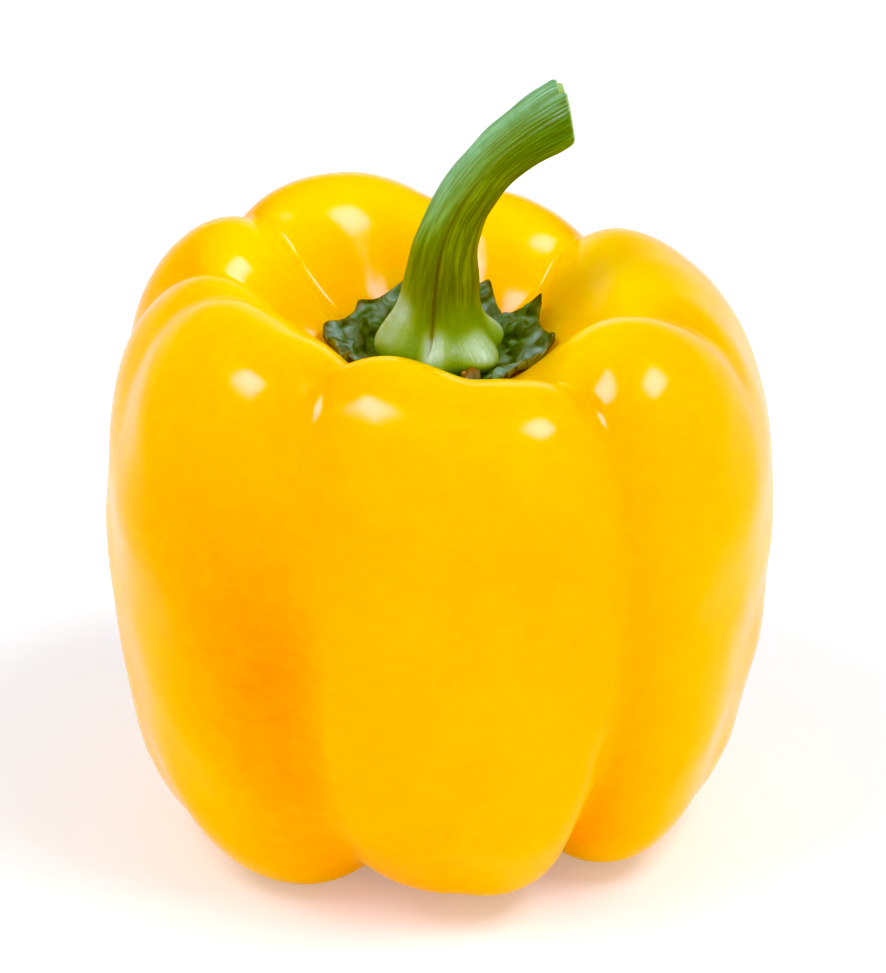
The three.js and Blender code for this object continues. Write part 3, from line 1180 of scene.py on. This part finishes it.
@dataclass(frozen=True)
class SkinFinish:
    """Waxy yellow skin: cloudy ripeness, painted shade of deeper orange in the grooves, painted light of
    lemon on the crests and a corky blossom scar.
    """

    ripe: Colour = linear("ffb400")
    # lemon is also the painted light on the crests.
    lemon: Colour = linear("ffd000")
    # orange is also the painted shade in the grooves.
    orange: Colour = linear("ff8c00")
    cork: Colour = linear("8a5a2c")
    cloud_scale: float = 38.0
    cloud_softness: float = 0.22
    cloud_share: float = 0.35
    fleck_scale: float = 420.0
    fleck_softness: float = 0.12
    fleck_share: float = 0.1
    crest_light_share: float = 0.9
    groove_shade_share: float = 0.6
    blotchiness: float = 0.25
    gloss: float = 0.2
    dullness: float = 0.06
    cork_dullness: float = 0.5
    grain: float = 0.05
    grain_scale: float = 900.0
    grain_depth: float = 0.0002
    sheen: Colour = (1.0, 0.68, 1.0, 1.0)
    bloom: float = 0.22
    bloom_softness: float = 0.2
    bloom_tint: Colour = linear("ffd2b4")
    refraction: float = 1.34
    translucency: float = 0.6
    scatter: tuple[float, float, float] = (1.0, 0.25, 0.03)
    scatter_depth: float = 0.009

    def material(self) -> bpy.types.Material:
        """Wire the finish.

        Returns:
            The material.
        """
        graph, shader, place, material = started_material("pepper_skin")
        clouds = clouded(graph, place, self.cloud_scale, self.cloud_softness)
        flecks = clouded(graph, place, self.fleck_scale, self.fleck_softness)
        scar = graph.mask(Mask.SCAR)
        colour = graph.mix(graph.times(clouds, self.cloud_share), self.ripe, self.lemon)
        # Painted light: lemon on the crests, where light from above falls.
        colour = graph.mix(graph.times(graph.mask(Mask.CREST_LIGHT), self.crest_light_share), colour, self.lemon)
        # Painted shade: deeper orange in the grooves, mixed with the riper blush patches.
        grooves = graph.times(graph.mask(Mask.GROOVE_SHADE), self.groove_shade_share)
        deeper = graph.math("MAXIMUM", graph.mask(Mask.BLUSH), grooves)
        blotches = graph.plus(1 - self.blotchiness, graph.times(clouds, self.blotchiness))
        colour = graph.mix(graph.times(deeper, blotches), colour, self.orange)
        colour = graph.mix(graph.times(flecks, self.fleck_share), colour, self.lemon)
        colour = graph.mix(scar, colour, self.cork)
        graph.feed(shader, "Base Color", colour)
        uneven = graph.plus(self.gloss, graph.times(clouds, self.dullness))
        graph.feed(shader, "Roughness", graph.plus(uneven, graph.times(scar, self.cork_dullness)))
        cells = placed_group(graph, grain_group(), {"Vector": place, "Scale": self.grain_scale})
        roughened(graph, shader, cells, self.grain, self.grain_depth)
        constants = {
            "Specular Tint": self.sheen,
            "Sheen Weight": self.bloom,
            "Sheen Roughness": self.bloom_softness,
            "Sheen Tint": self.bloom_tint,
            "IOR": self.refraction,
            "Subsurface Weight": self.translucency,
            "Subsurface Radius": self.scatter,
            "Subsurface Scale": self.scatter_depth,
        }
        for name, value in constants.items():
            shader.inputs[name].default_value = value
        return material


@dataclass(frozen=True)
class CalyxFinish:
    """Dark leathery green: pale puckers with painted highlights, painted shade in the folds, dried brown
    tips and a corky fleck.
    """

    green: Colour = linear("38585c")
    # pale is the colour of the paler patches and of the painted highlights on the puckers; shade is painted
    # shade in the folds.
    pale: Colour = linear("7aa492")
    shade: Colour = linear("182a32")
    edge: Colour = linear("6c5c40")
    dry: Colour = linear("40302c")
    bruise: Colour = linear("5c5048")
    scab: Colour = linear("7a3f32")
    scab_crust: Colour = linear("c08c80")
    patch_scale: float = 260.0
    patch_softness: float = 0.14
    patch_share: float = 0.4
    raised_highlight: Zone = (0.1, 0.5)
    pucker_highlight_share: float = 0.6
    folded: Zone = (0.45, 0.9)
    fold_shade_share: float = 0.75
    bruise_scale: float = 90.0
    bruise_softness: float = 0.12
    bruise_share: float = 0.35
    edge_share: float = 0.6
    crusted: Zone = (0.35, 0.8)
    roughness: float = 0.5
    fold_roughness: float = 0.2
    grain: float = 0.35
    grain_scale: float = 1600.0
    grain_depth: float = 0.0002

    def material(self) -> bpy.types.Material:
        """Wire the finish.

        Returns:
            The material.
        """
        graph, shader, place, material = started_material("calyx_leather")
        clouds = clouded(graph, place, self.patch_scale, self.patch_softness)
        broad = clouded(graph, place, self.bruise_scale, self.bruise_softness)
        fold = graph.mask(Mask.FOLD)
        # Painted highlights on the tops of the puckers and painted shade in the folds between them.
        raised_highlight = graph.minus(1.0, graph.stretch(fold, *self.raised_highlight))
        patches = graph.times(clouds, self.patch_share)
        patches_and_highlight = graph.math("MAXIMUM", patches, graph.times(raised_highlight, self.pucker_highlight_share))
        colour = graph.mix(patches_and_highlight, self.green, self.pale)
        shaded = graph.times(graph.stretch(fold, *self.folded), self.fold_shade_share)
        colour = graph.mix(shaded, colour, self.shade)
        colour = graph.mix(graph.times(broad, self.bruise_share), colour, self.bruise)
        colour = graph.mix(graph.times(graph.mask(Mask.EDGE), self.edge_share), colour, self.edge)
        colour = graph.mix(graph.mask(Mask.TIP), colour, self.dry)
        crust = graph.mix(graph.stretch(clouds, *self.crusted), self.scab, self.scab_crust)
        colour = graph.mix(graph.mask(Mask.SCAR), colour, crust)
        graph.feed(shader, "Base Color", colour)
        graph.feed(shader, "Roughness", graph.plus(self.roughness, graph.times(fold, self.fold_roughness)))
        cells = placed_group(graph, grain_group(), {"Vector": place, "Scale": self.grain_scale})
        roughened(graph, shader, cells, self.grain, self.grain_depth)
        return material


@dataclass(frozen=True)
class StemFinish:
    """Fibrous green: olive front, painted bluish light on top, waxy knuckles with painted highlights,
    painted shade in creases and a brown seam.
    """

    olive: Colour = linear("60781a")
    dark: Colour = linear("30400e")
    lit: Colour = linear("8ca036")
    # bloom is painted pale bluish light on the upper side of the stem.
    bloom: Colour = linear("82c692")
    golden: Colour = linear("a09514")
    fresh: Colour = linear("548848")
    # deep is also the painted shade in the creases of the foot.
    deep: Colour = linear("2e6236")
    flare: Colour = linear("7aa24a")
    # The colour below is pale waxy bloom with a painted highlight, on the knuckles.
    wax_highlight: Colour = linear("bcd8c0")
    seam: Colour = linear("463a10")
    pith: Colour = linear("94b468")
    fine_scale: float = 11.0
    fine_zone: Zone = (0.42, 0.6)
    broad_scale: float = 3.6
    broad_zone: Zone = (0.42, 0.62)
    squeeze: float = 0.16
    patch_scale: float = 190.0
    patch_softness: float = 0.12
    lit_share: float = 0.45
    deep_share: float = 0.6
    golden_share: float = 0.6
    top_light_share: float = 0.72
    top_light_raggedness: float = 0.2
    top_light_loss_at_tip: float = 0.3
    patch_share: float = 0.25
    streak_share: float = 0.5
    streak_loss_on_top: float = 0.25
    flare_share: float = 0.9
    # Painted shade in the creases of the flared foot.
    crease_shade_share: float = 0.4
    wax_highlight_share: float = 0.45
    wax_highlight_wear: float = 0.3
    wax_highlit: Zone = (0.0, 0.4)
    seam_share: float = 0.85
    roughness: float = 0.42
    streak_roughness: float = 0.15
    streak_depth: float = 0.8
    grain: float = 0.25
    grain_scale: float = 1500.0
    grain_depth: float = 0.0003

    def strand(self, graph: Graph, scale: float, zone: Zone) -> Socket:
        """Long streaks that follow the stem.

        Args:
            graph: Material that is being wired.
            scale: How fine the streaks are.
            zone: Noise at which a streak begins and is full.

        Returns:
            Mask from 0 to 1.
        """
        along = graph.add("ShaderNodeAttribute", attribute_name=Mask.STRAND.value).outputs["Vector"]
        drawn = graph.add("ShaderNodeMapping", {"Vector": along, "Scale": (1.0, 1.0, self.squeeze)})
        noise = graph.add("ShaderNodeTexNoise", {"Vector": drawn.outputs[0], "Scale": scale, "Detail": 3.0})
        return graph.stretch(noise.outputs[0], *zone)

    def shaft_colour(self, graph: Graph, fine: Socket, broad: Socket, clouds: Socket) -> Socket:
        """Colour of the shaft, from the olive front to the fresh tip.

        Args:
            graph: Material that is being wired.
            fine: Mask of the fine streaks.
            broad: Mask of the broad streaks.
            clouds: Mask of the cloudy patches.

        Returns:
            The colour.
        """
        top, tip = graph.mask(Mask.LIT_UPPER_SIDE), graph.mask(Mask.NEAR_TIP)
        shaft = graph.mix(graph.times(broad, self.lit_share), self.olive, self.lit)
        end = graph.mix(graph.times(broad, self.deep_share), self.fresh, self.deep)
        colour = graph.mix(tip, shaft, end)
        golden = graph.times(graph.mask(Mask.UNDERSIDE), self.golden_share)
        colour = graph.mix(golden, colour, self.golden)
        # Painted light: pale bluish on the upper side, weaker towards the tip.
        ragged = graph.plus(self.top_light_share, graph.times(broad, self.top_light_raggedness))
        ragged = graph.minus(ragged, graph.times(tip, self.top_light_loss_at_tip))
        colour = graph.mix(graph.times(top, ragged), colour, self.bloom)
        colour = graph.mix(graph.times(clouds, self.patch_share), colour, self.dark)
        streaks = graph.minus(self.streak_share, graph.times(top, self.streak_loss_on_top))
        return graph.mix(graph.times(fine, streaks), colour, self.dark)

    def material(self) -> bpy.types.Material:
        """Wire the finish.

        Returns:
            The material.
        """
        graph, shader, place, material = started_material("stem_fibres")
        fine = self.strand(graph, self.fine_scale, self.fine_zone)
        broad = self.strand(graph, self.broad_scale, self.broad_zone)
        clouds = clouded(graph, place, self.patch_scale, self.patch_softness)
        flare, wax_highlight = graph.mask(Mask.FLARE), graph.mask(Mask.WAX_HIGHLIGHT)
        colour = self.shaft_colour(graph, fine, broad, clouds)
        colour = graph.mix(graph.times(flare, self.flare_share), colour, self.flare)
        # Painted shade: deep green in the creases of the flared foot, between the knuckles.
        crease_shade = graph.math("MAXIMUM", graph.minus(flare, graph.stretch(wax_highlight, *self.wax_highlit)), 0.0)
        colour = graph.mix(graph.times(crease_shade, self.crease_shade_share), colour, self.deep)
        # Pale waxy bloom with a painted highlight on the knuckles, thinned by the streaks.
        thick = graph.plus(self.wax_highlight_share, graph.times(clouds, self.wax_highlight_share))
        worn = graph.minus(1.0, graph.times(broad, self.wax_highlight_wear))
        colour = graph.mix(graph.times(wax_highlight, graph.times(thick, worn)), colour, self.wax_highlight)
        colour = graph.mix(graph.times(graph.mask(Mask.SEAM), self.seam_share), colour, self.seam)
        colour = graph.mix(graph.mask(Mask.CUT), colour, self.pith)
        graph.feed(shader, "Base Color", colour)
        graph.feed(shader, "Roughness", graph.plus(self.roughness, graph.times(fine, self.streak_roughness)))
        cells = placed_group(graph, grain_group(), {"Vector": place, "Scale": self.grain_scale})
        height = graph.minus(cells, graph.times(fine, self.streak_depth))
        roughened(graph, shader, height, self.grain, self.grain_depth)
        return material


@dataclass(frozen=True)
class SoftBox:
    """One rectangular studio light that faces the pepper.

    Attributes:
        name: Name of the light.
        azimuth: Degrees from the front towards the right.
        elevation: Degrees above the floor.
        power: Watts.
        gleam: Further watts that only show as a reflection.
        distance: Metres from the middle of the pepper.
        width: Metres.
        height: Metres.
    """

    name: str
    azimuth: float
    elevation: float
    power: float
    gleam: float
    distance: float = 1.6
    width: float = 0.7
    height: float = 0.55

    def hang(self, middle: Vector) -> None:
        """Hang the light, and its twin that only shows as a reflection.

        Args:
            middle: What it faces, in metres.
        """
        data = bpy.data.lights.new(self.name, "AREA")
        data.shape = "RECTANGLE"
        data.size = self.width
        data.size_y = self.height
        data.energy = self.power
        light = bpy.data.objects.new(self.name, data)
        turn, lean = math.radians(self.azimuth), math.radians(self.elevation)
        flat = math.cos(lean)
        away = Vector((math.sin(turn) * flat, -math.cos(turn) * flat, math.sin(lean)))
        light.location = middle + self.distance * away
        light.rotation_euler = (-away).to_track_quat("-Z", "Y").to_euler()
        mirrored = light.copy()
        mirrored.data = data.copy()
        mirrored.data.energy = self.gleam
        mirrored.visible_diffuse = False
        mirrored.visible_transmission = False
        bpy.context.scene.collection.objects.link(light)
        bpy.context.scene.collection.objects.link(mirrored)


@dataclass
class Studio:
    """Pale floor, soft lights and the camera at the photograph's angle."""

    target: tuple[float, float, float] = (0.5, 1.1, 49.9)
    elevation: float = 27.7
    distance: float = 600.0
    pixels_per_mm: float = 7.48
    image_height: float = 973.0
    sensor: float = 36.0
    floor_size: float = 6.0
    boxes: tuple[SoftBox, ...] = (
        SoftBox("left_box", azimuth=-60, elevation=57, power=9, gleam=18),
        SoftBox("right_box", azimuth=62, elevation=59, power=13, gleam=14),
    )
    horizon: float = 1.25
    zenith: float = 0.42
    fade: tuple[float, float] = (0.1, 0.6)
    floor_colours: tuple[str, str] = ("e6e9ee", "e9ecf1")
    floor_cloud_scale: float = 3.0
    floor_cloud_softness: float = 0.3
    floor_roughness: float = 0.45
    floor_gloss: float = 0.3
    floor_glow: float = 0.25
    blue_toe: tuple[tuple[float, float], ...] = ((0.09, 0.008), (0.24, 0.2), (0.5, 0.49))

    def camera(self) -> None:
        """Set up the camera and make it the scene's own."""
        data = bpy.data.cameras.new("camera")
        data.sensor_width = self.sensor
        data.lens = self.pixels_per_mm * self.distance * self.sensor / self.image_height
        data.clip_end = 20.0
        camera = bpy.data.objects.new("camera", data)
        lean = math.radians(self.elevation)
        target = Vector(self.target)
        away = Vector((0.0, -math.cos(lean), math.sin(lean)))
        camera.location = (target + self.distance * away) * MM
        camera.rotation_euler = (-away).to_track_quat("-Z", "Y").to_euler()
        bpy.context.scene.collection.objects.link(camera)
        bpy.context.scene.camera = camera

    def surround(self) -> None:
        """Light the surroundings: bright at the horizon, darker overhead."""
        world = bpy.data.worlds.new("surround")
        world.use_nodes = True
        graph = Graph(world.node_tree)
        background = world.node_tree.nodes["Background"]
        background.inputs["Color"].default_value = (1.0, 1.0, 1.0, 1.0)
        direction = graph.add("ShaderNodeTexCoord").outputs["Generated"]
        rise = graph.add("ShaderNodeSeparateXYZ", {"Vector": direction}).outputs["Z"]
        low, high = self.fade
        glow = graph.add("ShaderNodeMapRange", {0: rise, 1: low, 2: high, 3: self.horizon, 4: self.zenith})
        graph.feed(background, "Strength", glow.outputs[0])
        bpy.context.scene.world = world

    def floor(self) -> None:
        """Lay the floor, which isn't part of the object."""
        half = self.floor_size / 2
        corners = [(-half, -half, 0), (half, -half, 0), (half, half, 0), (-half, half, 0)]
        mesh = bpy.data.meshes.new("floor")
        mesh.from_pydata(corners, [], [(0, 1, 2, 3)])
        floor = bpy.data.objects.new("floor", mesh)
        bpy.context.scene.collection.objects.link(floor)
        graph, shader, place, material = started_material("pale_floor")
        dull, pale = (linear(code) for code in self.floor_colours)
        clouds = clouded(graph, place, self.floor_cloud_scale, self.floor_cloud_softness)
        colour = graph.mix(clouds, dull, pale)
        graph.feed(shader, "Base Color", colour)
        graph.feed(shader, "Emission Color", colour)
        shader.inputs["Emission Strength"].default_value = self.floor_glow
        shader.inputs["Roughness"].default_value = self.floor_roughness
        shader.inputs["Specular IOR Level"].default_value = self.floor_gloss
        mesh.materials.append(material)

    def build(self) -> None:
        """Set up the camera, the lights, the floor and the way that colours are shown."""
        self.camera()
        for box in self.boxes:
            box.hang(Vector(self.target) * MM)
        self.surround()
        self.floor()
        settings = bpy.context.scene.view_settings
        settings.view_transform = "Standard"
        settings.look = "None"
        settings.exposure = 0.0
        settings.use_curve_mapping = True
        blue = settings.curve_mapping.curves[2]
        for shown, kept in self.blue_toe:
            blue.points.new(shown, kept)
        settings.curve_mapping.update()


def main() -> None:
    """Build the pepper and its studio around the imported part."""
    logging.basicConfig(level=logging.INFO, format="%(name)s %(message)s")
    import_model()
    fruit = Fruit()
    for maker in (fruit, Calyx(fruit), Stem(fruit.axis)):
        piece = maker.build()
        LOG.info("%s: %d faces", piece.name, len(piece.data.polygons))
    Studio().build()
    bpy.context.view_layer.update()


if __name__ == "__main__":
    main()
